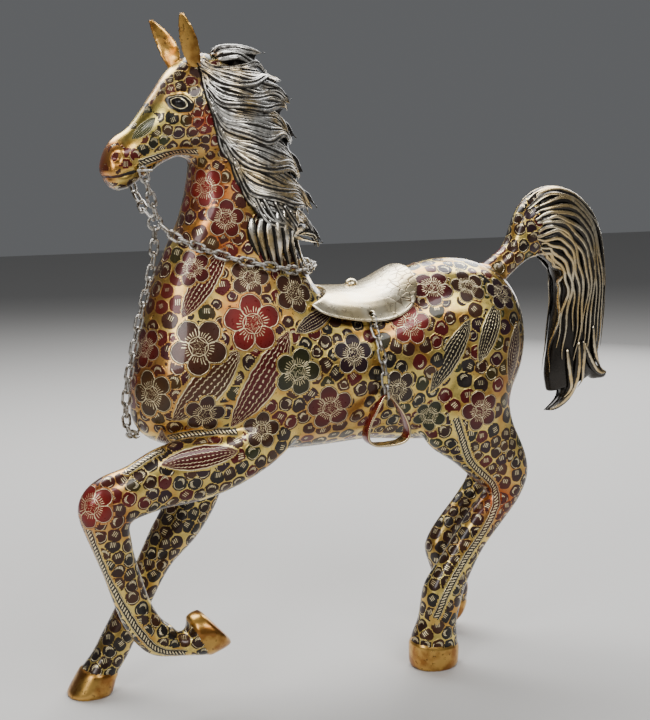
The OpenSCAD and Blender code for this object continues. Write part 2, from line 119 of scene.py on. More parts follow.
def add_lights():
    add_light("overhead_softbox", (0.15, 0.62, 1.05), (1.5, 0.7), 30)
    add_light("side_softbox", (0.1, -0.95, 0.95), (0.8, 0.35), 9)
    add_light("front_softbox", (-1.0, -0.7, 0.8), (0.35, 0.7), 7)
    add_light("rear_softbox", (0.9, 0.9, 0.5), (0.5, 0.6), 5)
    world = bpy.data.worlds.new("studio")
    world.use_nodes = True
    background = world.node_tree.nodes["Background"]
    background.inputs["Color"].default_value = (0.75, 0.77, 0.8, 1)
    background.inputs["Strength"].default_value = 0.16
    bpy.context.scene.world = world


# ---- Meshes ----


def read(items, name, width=1, kind=float):
    """One property of all these vertices, edges, faces or corners, with width numbers to a row."""
    values = np.empty(len(items) * width, kind)
    items.foreach_get(name, values)
    return values.reshape(-1, width) if width > 1 else values


def coordinates(mesh):
    return read(mesh.vertices, "co", 3)


def normals(mesh):
    return read(mesh.vertices, "normal", 3)


def edges_of(mesh):
    return read(mesh.edges, "vertices", 2, np.int64)


def put_coordinates(mesh, co):
    mesh.vertices.foreach_set("co", co.astype(np.float32).ravel())
    mesh.update()


def add_values(mesh, name, values):
    """Gives each vertex one number under that name, for the materials to read."""
    mesh.attributes.new(name, "FLOAT", "POINT").data.foreach_set("value", values)


def neighbour_mean(values, edges):
    count = len(values)
    ends = np.concatenate([edges[:, 0], edges[:, 1]])
    others = np.concatenate([edges[:, 1], edges[:, 0]])
    degree = np.maximum(np.bincount(ends, minlength=count), 1)
    total = [np.bincount(ends, column[others], minlength=count) for column in values.T]
    return np.stack(total, 1) / degree[:, None]


def low_pass(values, edges, rounds):
    for _ in range(rounds):
        values = (values + neighbour_mean(values, edges)) / 2
    return values


def smooth_shape(co, edges, rounds):
    """Smooths away facets and then gives back what the smoothing shrank."""
    soft = low_pass(co, edges, rounds)
    return soft + low_pass(co - soft, edges, rounds)


def add_object(name, mesh, nodes, body=HORSE):
    """Adds the mesh as one smooth piece that rides that body and replaces those CAD nodes."""
    piece = add_thing(name, mesh)
    mesh.polygons.foreach_set("use_smooth", [True] * len(mesh.polygons))
    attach(piece, body)
    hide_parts(*nodes)


def joined_mesh(nodes):
    points, faces = [], []
    for node in nodes:
        mesh = NODES[node].data
        base = len(points)
        points += [tuple(v.co) for v in mesh.vertices]
        faces += [[base + i for i in p.vertices] for p in mesh.polygons]
    mesh = bpy.data.meshes.new("joined")
    mesh.from_pydata(points, [], faces)
    return mesh


def largest_part(mesh, name):
    """The part of the mesh that has the most vertices, which is its outside, as a mesh of that name."""
    a, b = edges_of(mesh).T
    part = np.arange(len(mesh.vertices))
    while np.any(part[a] != part[b]):
        low = np.minimum(part[a], part[b])
        np.minimum.at(part, part[a], low)
        np.minimum.at(part, part[b], low)
        part = part[part]
    best = np.argmax(np.bincount(part))
    number = np.cumsum(part == best) - 1
    co = coordinates(mesh)[part == best]
    faces = [[number[i] for i in p.vertices] for p in mesh.polygons if part[p.vertices[0]] == best]
    clean = bpy.data.meshes.new(name)
    clean.from_pydata(co.tolist(), [], faces)
    return clean


def remeshed(name, nodes, voxel, rounds=0):
    """The outside of these CAD nodes as one even mesh of squares, smoothed for that many rounds."""
    helper = add_thing("joined", joined_mesh(nodes))
    modifier = helper.modifiers.new("remesh", "REMESH")
    modifier.mode = "VOXEL"
    modifier.voxel_size = voxel * MM
    graph = bpy.context.evaluated_depsgraph_get()
    mesh = bpy.data.meshes.new_from_object(helper.evaluated_get(graph))
    bpy.data.objects.remove(helper)
    mesh = largest_part(mesh, name)
    put_coordinates(mesh, smooth_shape(coordinates(mesh), edges_of(mesh), rounds))
    return mesh


def tree_of(mesh):
    co = coordinates(mesh)
    return BVHTree.FromPolygons(co.tolist(), [tuple(p.vertices) for p in mesh.polygons])


def unit(v):
    return v / np.maximum(np.linalg.norm(v, axis=-1, keepdims=True), 1e-12)


def curve_through(points, count):
    """count points along a smooth curve through the given ones."""
    points = np.array(points, float)
    padded = np.concatenate([[2 * points[0] - points[1]], points, [2 * points[-1] - points[-2]]])
    spans = len(points) - 1
    result = []
    for s in np.linspace(0, spans, count):
        i = min(int(s), spans - 1)
        t = s - i
        a, b, c, d = padded[i : i + 4]
        result.append(
            (2 * b + (c - a) * t + (2 * a - 5 * b + 4 * c - d) * t**2 + (3 * b - a - 3 * c + d) * t**3) / 2
        )
    return np.array(result)


def ring_faces(rings, around, closed=False):
    """Faces between rings of that many points, with end caps unless the last ring meets the first."""
    faces = []
    for i in range(rings - (0 if closed else 1)):
        low, high = i * around, (i + 1) % rings * around
        for j in range(around):
            after = (j + 1) % around
            faces.append((low + j, low + after, high + after, high + j))
    if not closed:
        faces.append(tuple(range(around))[::-1])
        faces.append(tuple((rings - 1) * around + j for j in range(around)))
    return faces


# ---- Shader graphs ----


class Graph:
    """A material's nodes, built by short calls that each return an output."""

    def __init__(self, name):
        self.material = bpy.data.materials.new(name)
        self.material.use_nodes = True
        self.nodes = self.material.node_tree.nodes
        self.shader = self.nodes["Principled BSDF"]
        self.place = self.node("ShaderNodeTexCoord").outputs["Object"]

    def link(self, value, socket):
        if isinstance(value, bpy.types.NodeSocket):
            self.material.node_tree.links.new(value, socket)
        else:
            socket.default_value = value

    def node(self, kind, inputs=(), **settings):
        node = self.nodes.new(kind)
        for key, value in settings.items():
            setattr(node, key, value)
        for key, value in dict(inputs).items():
            self.link(value, node.inputs[key])
        return node

    def math(self, operation, *values):
        return self.node("ShaderNodeMath", dict(enumerate(values)), operation=operation).outputs[0]

    def add(self, a, b):
        return self.math("ADD", a, b)

    def times(self, a, b):
        return self.math("MULTIPLY", a, b)

    def length(self, a, b):
        return self.math("SQRT", self.add(self.times(a, a), self.times(b, b)))

    def below(self, value, edge, soft=0.1):
        """1 where value is under edge, fading to 0 over the soft distance."""
        inputs = {"Value": value, 1: self.shift(edge, -soft), 2: self.shift(edge, soft), 3: 1.0, 4: 0.0}
        return self.node("ShaderNodeMapRange", inputs).outputs[0]

    def shift(self, value, by):
        return self.add(value, by) if isinstance(value, bpy.types.NodeSocket) else value + by

    def inverse(self, value):
        return self.math("SUBTRACT", 1.0, value)

    def band(self, value, low, high, soft=0.1):
        return self.times(self.below(value, high, soft), self.inverse(self.below(value, low, soft)))

    def stripes(self, value, period, share, soft=0.06):
        """1 on stripes that fill that share of each period."""
        wave = self.math("PINGPONG", value, period / 2)
        return self.below(wave, share * period / 2, soft * period)

    def most(self, *values):
        result = values[0]
        for value in values[1:]:
            result = self.math("MAXIMUM", result, value)
        return result

    def mix(self, factor, a, b):
        node = self.node("ShaderNodeMix", data_type="RGBA")
        self.link(factor, node.inputs[0])
        self.link(a, node.inputs[6])
        self.link(b, node.inputs[7])
        return node.outputs[2]

    def noise(self, scale, detail=2.0):
        inputs = {"Scale": scale, "Detail": detail, "Vector": self.place}
        return self.node("ShaderNodeTexNoise", inputs).outputs[0]

    def patches(self, low, soft, scale, detail=2.0):
        """1 where the noise is above low."""
        return self.band(self.noise(scale, detail), low, 1.0, soft)

    def varied(self, least, extra, scale, detail=2.0):
        """From least up to least plus extra, as the noise goes."""
        return self.add(self.times(self.noise(scale, detail), extra), least)

    def shaken(self, value, extra, scale, detail):
        """The value moved up and down by half of extra."""
        return self.add(value, self.times(self.add(self.noise(scale, detail), -0.5), extra))

    def attribute(self, name):
        return self.node("ShaderNodeAttribute", attribute_name=name)

    def bump(self, height, strength, distance):
        inputs = {"Height": height, "Strength": strength, "Distance": distance * MM}
        self.link(self.node("ShaderNodeBump", inputs).outputs[0], self.shader.inputs["Normal"])

    def coat(self, weight, roughness):
        self.shader.inputs["Coat Weight"].default_value = weight
        self.shader.inputs["Coat Roughness"].default_value = roughness

    def finish(self, colour, metallic, roughness):
        self.link(colour, self.shader.inputs["Base Color"])
        self.link(metallic, self.shader.inputs["Metallic"])
        self.link(roughness, self.shader.inputs["Roughness"])
        return self.material


GOLD = (0.95, 0.73, 0.20, 1)
AMBER = (0.62, 0.32, 0.06, 1)
PALE_GOLD = (0.92, 0.78, 0.46, 1)
TARNISH = (0.30, 0.15, 0.03, 1)
SOOT = (0.008, 0.006, 0.005, 1)
SKIN_COAT = 0.33
SKIN_COAT_ROUGHNESS = 0.06
LACQUER_SHEEN = 0.3

# Sizes of the motifs on their own charts, in mm before each one's scale
BLOB_EDGE = 4.25
PETALS = 5
PETAL_OUT = 8.2
PETAL_EDGE = 5.5
FLOWER_EYE = 4.6
LEAF_HALF = 20.0
LEAF_WIDE = 6.8
LEAF_POWER = 0.8


def blob_pattern(g, u, v, seed):
    """A dark round scale with a hatched crescent or a few short strokes cut into it."""
    r = g.length(u, v)
    room = g.attribute("room").outputs["Fac"]
    body = g.times(g.below(r, BLOB_EDGE, 0.15), g.inverse(g.below(room, 0.34, 0.12)))
    outer = g.below(g.length(u, g.add(v, -0.9)), 2.0)
    crescent = g.times(outer, g.inverse(g.below(g.length(u, g.add(v, 0.5)), 2.1)))
    crescent = g.times(crescent, g.stripes(g.add(u, g.times(v, 0.5)), 0.8, 0.62))
    place = g.times(g.band(v, -0.2, 2.4), g.below(g.math("ABSOLUTE", u), 1.8))
    strokes = g.times(g.stripes(u, 1.0, 0.36), place)
    style = g.below(seed, 0.55, 0.01)
    arc = g.times(g.band(r, 3.15, 3.38, 0.05), g.below(v, -0.6))
    arc = g.times(arc, g.below(seed, 0.4, 0.01))
    cut = g.most(g.times(crescent, style), g.times(strokes, g.inverse(style)), arc)
    return body, cut, 1.0


def flower_pattern(g, u, v, seed):
    """Five round petals, outlined, with strokes that spread from the eye."""
    r = g.length(u, v)
    turn = g.times(g.math("ARCTAN2", v, u), PETALS / (2 * math.pi))
    fold = g.times(g.add(g.math("FRACT", g.add(turn, PETALS / 2)), -0.5), 2 * math.pi / PETALS)
    across = g.times(r, g.math("SINE", fold))
    out = g.add(g.times(r, g.math("COSINE", fold)), -PETAL_OUT)
    d = g.length(across, out)
    body = g.most(g.below(d, PETAL_EDGE, 0.12), g.below(r, FLOWER_EYE))
    away = g.times(r, g.math("SINE", g.math("SUBTRACT", math.pi / PETALS, g.math("ABSOLUTE", fold))))
    gap = g.times(g.below(away, 0.16, 0.06), g.band(r, FLOWER_EYE, 10.0))
    outline = g.most(g.band(d, 4.85, 5.1, 0.07), gap)
    reach = g.varied(FLOWER_EYE, 5.5, 330.0, 1.0)
    strokes = g.times(g.stripes(g.add(fold, seed), 0.2, 0.24), g.band(r, 5.2, reach, 0.2))
    ring = g.band(r, 4.3, FLOWER_EYE, 0.07)
    scribble = g.times(g.band(g.noise(700.0, 1.0), 0.485, 0.515, 0.008), g.below(r, 3.2))
    shade = g.add(g.times(g.below(r, 9.0, 3.0), 0.4), 0.6)
    return body, g.most(outline, strokes, ring, scribble), shade


def leaf_pattern(g, u, v, seed):
    """A long pointed leaf, outlined, filled with rows of dashes that run along it."""
    along = g.times(u, 1 / LEAF_HALF)
    room = g.math("MAXIMUM", g.math("SUBTRACT", 1.0, g.times(along, along)), 0.001)
    half = g.times(g.math("POWER", room, LEAF_POWER), LEAF_WIDE)
    side = g.math("DIVIDE", g.math("ABSOLUTE", v), g.math("MAXIMUM", half, 0.01))
    body = g.below(side, 1.0, 0.03)
    outline = g.band(side, 0.9, 0.98, 0.02)
    row = g.times(side, 3.0)
    dash = g.stripes(g.add(u, g.times(g.math("FLOOR", row), 0.9)), 2.2, 0.5)
    hatch = g.times(g.stripes(row, 1.0, 0.24, 0.06), dash)
    return body, g.most(outline, g.times(hatch, g.below(side, 0.86))), g.varied(0.4, 1.1, 60.0)


def band_pattern(g, u, v, seed):
    """A dark line along a leg with slanted beads cut in it."""
    side = g.math("ABSOLUTE", v)
    bead = g.times(g.stripes(g.add(u, g.times(v, 0.8)), 2.1, 0.42), g.below(side, 1.15))
    return g.below(side, 2.6), g.most(bead, g.band(side, 2.1, 2.35, 0.06)), 1.0


def eye_pattern(g, u, v, seed):
    """A dark almond with a pale lid line round it and a short crease above."""
    almond = g.length(g.times(u, 0.22), g.times(v, 0.38))
    crease = g.times(g.band(almond, 1.5, 1.6, 0.04), g.inverse(g.below(v, 1.2)))
    lids = g.most(g.band(almond, 0.98, 1.12, 0.04), crease)
    iris = g.below(g.length(u, v), 1.5)
    return g.below(almond, 1.85, 0.08), lids, g.add(g.times(iris, -0.04), 0.06)


def pit_pattern(g, u, v, seed):
    """A plain dark oval."""
    return g.below(g.length(g.times(u, 0.26), g.times(v, 0.45)), 1.0, 0.1), 0.0, 1.0


def slit_pattern(g, u, v, seed):
    """A plain dark line."""
    return g.below(g.math("ABSOLUTE", v), 0.85), 0.0, 1.0


# Each kind of motif with its pattern, in the order of the skin's materials
PATTERNS = {
    "ground": None,
    "blob": blob_pattern,
    "flower": flower_pattern,
    "leaf": leaf_pattern,
    "band": band_pattern,
    "eye": eye_pattern,
    "pit": pit_pattern,
    "slit": slit_pattern,
}
KINDS = [*PATTERNS, "hoof"]


def skin_material(name, pattern):
    """Brass under clear lacquer, with the coloured parts of a motif over it and its cut strokes bright."""
    g = Graph(name)
    metal = g.mix(g.patches(0.56, 0.12, 70.0, 3.0), GOLD, AMBER)
    grain = g.stripes(g.noise(130.0, 0.0), 0.035, 0.5, 0.2)
    metal = g.mix(g.times(grain, 0.25), metal, TARNISH)
    # The tint carries coloured lacquer, and also painted shade on the right legs, under the chin and behind
    # the eyes
    tint = g.attribute("tint")
    colour = g.mix(tint.outputs["Alpha"], metal, tint.outputs["Color"])
    metallic = 1.0
    if pattern:
        chart = g.node("ShaderNodeSeparateXYZ", {0: g.attribute("chart").outputs["Vector"]})
        u = g.shaken(chart.outputs[0], 1.3, 260.0, 1.0)
        v = g.shaken(chart.outputs[1], 1.3, 240.0, 1.0)
        body, cut, shade = pattern(g, u, v, chart.outputs[2])
        cut = g.times(body, cut)
        raised = g.math("SUBTRACT", body, cut)
        paint = g.attribute("lacquer").outputs["Color"]
        paint = g.mix(g.times(tint.outputs["Alpha"], 0.18), paint, tint.outputs["Color"])
        colour = g.mix(body, colour, g.mix(shade, SOOT, paint))
        colour = g.mix(cut, colour, PALE_GOLD)
        metallic = g.inverse(g.times(raised, 0.75))
        g.bump(raised, 0.5, 0.25)
    g.coat(SKIN_COAT, SKIN_COAT_ROUGHNESS)
    g.shader.inputs["Specular IOR Level"].default_value = LACQUER_SHEEN
    return g.finish(colour, metallic, g.varied(0.2, 0.22, 500.0))


def plain_brass(name, colour=(0.62, 0.36, 0.09, 1), roughness=0.22):
    """Worn brass with brown patches and dark specks."""
    g = Graph(name)
    worn = g.mix(g.patches(0.52, 0.08, 90.0, 4.0), colour, (0.33, 0.14, 0.03, 1))
    specks = g.patches(0.66, 0.03, 420.0, 3.0)
    g.coat(0.2, 0.1)
    g.bump(g.noise(700.0, 3.0), 0.12, 0.3)
    colour = g.mix(g.times(specks, 0.7), worn, (0.06, 0.025, 0.008, 1))
    return g.finish(colour, 1.0, g.varied(roughness, 0.2, 240.0))


def hair_material(name, threshold, bright_colour):
    """Blackened metal with the ridges rubbed bright, from that height of ridge up."""
    g = Graph(name)
    ridge = g.shaken(g.attribute("ridge").outputs["Fac"], 0.55, 330.0, 3.0)
    bright = g.band(ridge, threshold, 3.0, 0.12)
    warm = g.mix(g.patches(0.5, 0.1, 60.0), bright_colour, (0.68, 0.50, 0.24, 1))
    colour = g.mix(bright, (0.022, 0.018, 0.014, 1), warm)
    g.coat(0.25, 0.15)
    g.bump(g.noise(900.0, 3.0), 0.25, 0.25)
    return g.finish(colour, g.add(g.times(bright, 0.35), 0.65), g.varied(0.17, 0.25, 400.0))


def saddle_material():
    """Bright plate with faint engraving towards its rear."""
    g = Graph("bright_brass")
    cells = {"Vector": g.place, "Scale": 190.0}
    edge = g.node("ShaderNodeTexVoronoi", cells, feature="DISTANCE_TO_EDGE").outputs[0]
    where = g.node("ShaderNodeSeparateXYZ", {0: g.place})
    rear = g.below(g.times(where.outputs[0], -1 / MM), -4.0, 9.0)
    lines = g.times(g.below(edge, 0.05, 0.03), g.times(rear, g.patches(0.45, 0.08, 120.0)))
    worn = g.mix(g.patches(0.45, 0.15, 45.0, 3.0), (0.86, 0.78, 0.60, 1), (0.74, 0.60, 0.34, 1))
    g.coat(0.4, 0.12)
    g.bump(g.inverse(lines), 0.5, 0.2)
    return g.finish(g.mix(lines, worn, (0.16, 0.10, 0.05, 1)), 1.0, g.varied(0.2, 0.18, 300.0, 3.0))


def steel_material():
    """Grey steel with brown grime."""
    g = Graph("chain_steel")
    colour = g.mix(g.patches(0.55, 0.08, 500.0, 3.0), (0.52, 0.50, 0.46, 1), (0.16, 0.12, 0.08, 1))
    g.bump(g.noise(1500.0, 2.0), 0.2, 0.1)
    return g.finish(colour, 1.0, g.varied(0.18, 0.3, 700.0))


def enamel_material():
    """Maroon enamel, worn to bright metal along the edges and on the tread."""
    g = Graph("maroon_enamel")
    worn = g.shaken(g.attribute("ridge").outputs["Fac"], 0.6, 500.0, 3.0)
    bare = g.band(worn, 0.6, 3.0, 0.08)
    red = g.mix(g.noise(120.0, 2.0), (0.09, 0.003, 0.004, 1), (0.20, 0.006, 0.008, 1))
    g.coat(0.6, 0.08)
    return g.finish(g.mix(bare, red, (0.80, 0.62, 0.34, 1)), g.add(g.times(bare, 0.8), 0.2), 0.25)


# ---- The skin: one casting's surface over both body shells, the head, the legs and the dock ----

LEG_NODES = ("left_foreleg", "right_foreleg", "left_hind_leg", "right_hind_leg")
SKIN_NODES = ("body_shell_left", "body_shell_right", "head", *LEG_NODES, "tail_dock")
VOXEL = 1.15

# Sculpting strokes: centre x, y (away from the middle), z, radius, height
BOTH_SIDES = [
    (-112, 36, 214, 30, 2.0), (-132, 27, 200, 17, 1.6), (-60, 40, 190, 16, -1.6),
    (28, 42, 208, 24, -2.0), (58, 40, 178, 20, 1.2), (72, 36, 240, 26, 1.0),
    (-100, 20, 300, 16, 1.2), (-113, 17, 306, 9, -1.2), (-109, 19, 348, 11, 2.2),
    (-97, 20, 344, 7, -1.6), (-138, 12, 345, 9, -1.0), (-131, 14, 352, 7, 0.9),
    (-116, 15, 375, 6, -1.6), (-157, 9.5, 333, 4.2, 1.4), (-152, 8, 317, 6, 1.0),
]
MIDLINE = [(-142, 0, 190, 9, -1.8), (-20, 0, 152, 14, 1.0), (-160, 0, 344, 5, 0.8)]
EYE = (-125.5, 16.6, 361.5)
EYE_R = 4.6
NOSTRIL = (-159.5, 10.5, 331.0)
MOUTH = [(-167, 5, 319.5), (-160, 10, 320.5), (-152, 12.5, 322.5), (-145, 13, 325)]
HOOVES = [
    # a point of the coronet and the way the hoof points from it
    ((-123, -26, 46), (0.89, 0, 0.45)),
    ((-172, 25, 15), (-0.2, 0, -0.98)),
    ((40, -27, 16), (-0.12, 0, -0.99)),
    ((85, 26, 22), (-0.1, 0, -0.99)),
]
HOOF_REACH = 34


def raise_near(co, normal, points, radius, height):
    """Moves the surface out near these points, and less further away, or in where height is negative."""
    away = np.min([((co - p) ** 2).sum(1) for p in points], 0) / radius**2
    near = away < 6
    co[near] += normal[near] * (height * np.exp(-away[near]))[:, None]


def hoof_depth(co):
    """How far each point is past the coronet of its hoof, or a negative number."""
    depth = np.full(len(co), -1e3)
    for point, way in HOOVES:
        offset = co - np.array(point)
        near = (offset**2).sum(1) < HOOF_REACH**2
        depth = np.where(near, np.maximum(depth, offset @ np.array(way)), depth)
    return depth


def sculpt(mesh):
    edges = edges_of(mesh)
    co = smooth_shape(coordinates(mesh) / MM, edges, 34)
    put_coordinates(mesh, co * MM)
    normal = normals(mesh)
    for x, y, z, radius, height in BOTH_SIDES:
        for side in SIDES:
            raise_near(co, normal, [(x, side * y, z)], radius, height)
    for x, y, z, radius, height in MIDLINE:
        raise_near(co, normal, [(x, y, z)], radius, height)
    for side in SIDES:
        flip = np.array([1, side, 1])
        raise_near(co, normal, curve_through(np.array(MOUTH) * flip, 24), 1.5, -1.6)
        eye = np.array(EYE) * flip
        raise_near(co, normal, [eye], EYE_R * 1.7, -1.6)
        raise_near(co, normal, [eye], EYE_R * 0.62, 3.4)
        lid = [eye + (-7, 0, 0.5), eye + (-3, -side * 0.4, 5), eye + (3, 0, 5.4), eye + (8, 0, 1)]
        raise_near(co, normal, curve_through(lid, 24), 1.5, 1.6)
        raise_near(co, normal, [np.array(NOSTRIL) * flip], 2.3, -3.6)
    depth = hoof_depth(co)
    wall = np.clip(depth / 1.2, 0, 1) * np.clip((26 - depth) / 10, 0, 1)
    co += normal * (wall * 0.8)[:, None]
    co[:, 2] = np.maximum(co[:, 2], 0)
    co = low_pass(co, edges, 1)
    put_coordinates(mesh, np.clip(co, LOW, HIGH) * MM)


# ---- Engraving: each motif has a centre, a direction and a colour ----

FLOWER_REACH = 13.6
EYE_REACH = 8.0
BLOB_REACH = 6.0
# Blobs of the head, of the trunk and of the legs: the gap between centres, and their scale
HEAD_BLOBS = (5.4, 0.98)
TRUNK_BLOBS = (8.2, 1.22)
LEG_BLOBS = (6.7, 1.12)
# The most that a distance over a curved surface is stretched
STRETCH = 1.6
BLACK = (0.012, 0.009, 0.007)
BROWN = (0.026, 0.009, 0.004)
UMBER = (0.048, 0.017, 0.006)
OLIVE = (0.022, 0.024, 0.005)
MAROON = (0.070, 0.004, 0.004)
PLUM = (0.020, 0.006, 0.010)
RED = (0.17, 0.007, 0.005)
BLOB_COLOURS = [BROWN, BROWN, BLACK, BLACK, UMBER, BROWN, PLUM, OLIVE, MAROON, MAROON]
# The legs below this height carry only the first few colours
DARK_HEIGHT = 135
DARK_COLOURS = 5

# Eyes and nostrils: kind, x, z, direction in degrees, size and colour
EYES = [("eye", -125.5, 361.5, -12, 1.1, BROWN), ("pit", -160.5, 331.5, 65, 0.8, (0.05, 0.004, 0.003))]
# Round places of the head that stay free of blobs: x, y (away from the middle), z, radius
BARE = [
    (-158, 0, 345, 9), (-148, 0, 357, 8), (-138, 0, 369, 8), (-167, 0, 331, 7),
    (-127, 0, 381, 9), (-152, 11, 343, 7), (-143, 12, 351, 7), (-134, 12, 361, 6),
]
# Flowers: x, z, colour, turn in degrees, size
FLOWERS = [
    (-89, 236, RED, 20, 1.3), (-121, 224, UMBER, 50, 1.25), (-63, 206, OLIVE, 0, 1.08),
    (-41, 182, MAROON, 30, 1.08), (15, 229, RED, 10, 1.0), (36, 250, MAROON, 55, 1.0),
    (-109, 314, RED, 40, 0.85), (-100, 296, MAROON, 10, 0.85), (-120, 268, MAROON, 30, 0.8),
    (-88, 262, UMBER, 0, 0.9), (-146, 222, MAROON, 15, 0.9), (-12, 244, UMBER, 20, 0.9),
    (60, 250, UMBER, 35, 0.9), (-84, 172, UMBER, 8, 0.85), (-146, 196, OLIVE, 25, 1.05),
    (-26, 214, PLUM, 15, 0.95), (4, 190, BROWN, 40, 0.95), (-60, 252, UMBER, 0, 1.0),
    (84, 244, PLUM, 20, 0.9), (62, 172, MAROON, 35, 1.0), (-187, 138, RED, 30, 1.0),
    (-118, 184, BROWN, 12, 0.9), (30, 170, OLIVE, 52, 0.8),
]
# Leaves: from x, z to x, z, half width and colour
LEAVES = [
    ((-136, 180), (-99, 221), 10.0, UMBER), ((-102, 174), (-67, 230), 10.0, MAROON),
    ((-128, 240), (-101, 280), 7.0, MAROON), ((28, 186), (56, 230), 7.0, BLACK),
    ((62, 203), (78, 240), 6.5, BLACK), ((93, 226), (86, 186), 6.0, PLUM),
    ((-146, 158), (-100, 162), 7.0, MAROON), ((-62, 230), (-34, 240), 5.5, PLUM),
    ((-150, 341), (-137, 353), 3.6, OLIVE),
]
# Beaded lines along the legs, the jaw and the belly, and the mouth's slit: kind, side and x, z points
BANDS = [
    ("band", LEFT, [(-190, 128), (-182, 104), (-174, 84), (-163, 62), (-150, 46), (-132, 40)]),
    ("band", LEFT, [(44, 170), (58, 140), (80, 116), (76, 96), (58, 72), (44, 52), (36, 34)]),
    ("band", LEFT, [(-148, 327), (-136, 331), (-124, 334), (-112, 334)]),
    ("band", LEFT, [(-166, 155), (-145, 166), (-120, 172), (-98, 172)]),
    ("band", RIGHT, [(-120, 160), (-117, 130), (-128, 104), (-143, 78), (-156, 52), (-168, 28)]),
    ("band", RIGHT, [(60, 170), (84, 140), (106, 118), (96, 92), (78, 66), (76, 46)]),
]
BANDS += [("slit", side, [(-168, 320), (-160, 320.5), (-152, 322.5), (-145, 325)]) for side in SIDES]
BAND_HALF = 2.9

# Coloured lacquer over the ground, and dark tints of painted shade on the right legs, under the chin and
# behind the eyes: x, y, z, radius, colour, strength
TINTS_AND_SHADE = [
    (-168, 0, 328, 14, (0.62, 0.10, 0.015), 0.95), (-146, -10, 350, 12, (0.20, 0.24, 0.05), 0.6),
    (-113, -19, 352, 8, (0.62, 0.03, 0.03), 0.85), (-132, 0, 372, 12, (0.75, 0.42, 0.20), 0.6),
    (-108, -17, 312, 22, (0.42, 0.035, 0.01), 0.85), (-100, -20, 285, 24, (0.45, 0.05, 0.012), 0.7),
    (-104, 0, 330, 22, (0.25, 0.02, 0.008), 0.7), (-148, -16, 205, 34, (0.42, 0.05, 0.01), 0.7),
    (-138, -10, 250, 22, (0.40, 0.07, 0.012), 0.6), (-92, -36, 240, 20, (0.50, 0.04, 0.02), 0.7),
    (-186, -32, 138, 20, (0.42, 0.025, 0.01), 0.9), (80, -38, 108, 19, (0.42, 0.025, 0.01), 0.85),
    (14, -36, 232, 16, (0.50, 0.06, 0.05), 0.6), (88, -34, 190, 24, (0.32, 0.05, 0.03), 0.6),
    (100, 0, 250, 16, (0.50, 0.12, 0.02), 0.7), (-40, -30, 175, 24, (0.40, 0.06, 0.02), 0.5),
    (-142, 20, 205, 28, (0.42, 0.05, 0.01), 0.6), (-100, 24, 285, 26, (0.42, 0.05, 0.01), 0.6),
    (40, 38, 215, 30, (0.42, 0.05, 0.02), 0.5), (-20, 40, 205, 26, (0.35, 0.08, 0.02), 0.5),
    # Painted shade: the dark tints here on the right foreleg, and the one at (85, 26, 60) on the right hind
    # leg
    (-175, 25, 50, 30, (0.06, 0.015, 0.006), 0.8), (-140, 25, 110, 26, (0.10, 0.02, 0.008), 0.7),
    # Painted shade: the near-black tints at (-150, 8, 315) on both sides, under the chin
    (85, 26, 60, 34, (0.08, 0.02, 0.008), 0.7), (-150, -8, 315, 8, (0.03, 0.012, 0.008), 0.9),
    # Painted shade: the dark brown tints at (-112, 17, 374) on both sides, behind and above the eyes, under
    # the ears
    (-150, 8, 315, 8, (0.03, 0.012, 0.008), 0.9), (-112, -17, 374, 9, (0.10, 0.03, 0.012), 0.8),
    (-112, 17, 374, 9, (0.10, 0.03, 0.012), 0.8), (-170, -6, 333, 8, (0.75, 0.16, 0.02), 0.97),
]


def unrolled(offset, along, across):
    """Distances along and across, stretched to how far the offsets reach over the curved surface."""
    flat = np.stack([(offset * way).sum(1) for way in (along, across)], 1)
    size = np.linalg.norm(offset, axis=1) / np.maximum(np.linalg.norm(flat, axis=1), 1e-9)
    return flat * np.minimum(size, STRETCH)[:, None]


Motif = namedtuple("Motif", "kind origin along across colour scale seed")


class Motifs:
    """The motifs so far, and which of them each face of the skin belongs to."""

    def __init__(self, centres, face_normals, tree):
        self.centres = centres
        self.face_normals = face_normals
        self.tree = tree
        self.owner = np.full(len(centres), -1)
        self.taken = np.zeros(len(centres), bool)
        self.all = []

    def start(self, kind, origin, along, normal, colour, scale):
        along = unit(along - normal * (along @ normal))
        across = np.cross(normal, along)
        self.all.append(Motif(kind, origin, along, across, colour, scale, rng.random()))
        return len(self.all) - 1

    def claim(self, number, reach, inside, margin):
        """Gives the motif the faces near its origin for which inside(u, v, margin) is true."""
        motif = self.all[number]
        offset = self.centres - motif.origin
        normal = np.cross(motif.along, motif.across)
        reach = reach * max(motif.scale) + margin
        near = np.nonzero(((offset**2).sum(1) < reach**2) & (self.face_normals @ normal > 0.15))[0]
        offset = self.centres[near] - motif.origin
        u, v = (unrolled(offset, motif.along, motif.across) / motif.scale).T
        self.owner[near[inside(u, v, 0.6) & ~self.taken[near]]] = number
        self.taken[near[inside(u, v, margin)]] = True


def on_side(tree, x, z, side):
    """The point of the skin's left or right side at x, z, and its normal, in mm."""
    start = Vector((x * MM, side * 0.2, z * MM))
    place, normal, _, _ = tree.ray_cast(start, Vector((0, -side, 0)), 0.4)
    if place is None:
        place, normal, _, _ = tree.find_nearest(Vector((x * MM, side * 0.03, z * MM)))
    return np.array(place) / MM, np.array(normal)


def in_flower(u, v, margin):
    fold = (np.arctan2(v, u) * PETALS / (2 * math.pi) + PETALS / 2) % 1 - 0.5
    fold *= 2 * math.pi / PETALS
    r = np.hypot(u, v)
    petal = np.hypot(r * np.sin(fold), r * np.cos(fold) - PETAL_OUT)
    return (petal < 5.3 + margin) | (r < 6)


def in_eye(u, v, margin):
    return u**2 + (v * 1.35) ** 2 < (EYE_REACH + margin) ** 2


def in_leaf(u, v, margin):
    along = np.clip(1 - (u / (LEAF_HALF + margin)) ** 2, 0, 1)
    return np.abs(v) < along**LEAF_POWER * (LEAF_WIDE + margin)


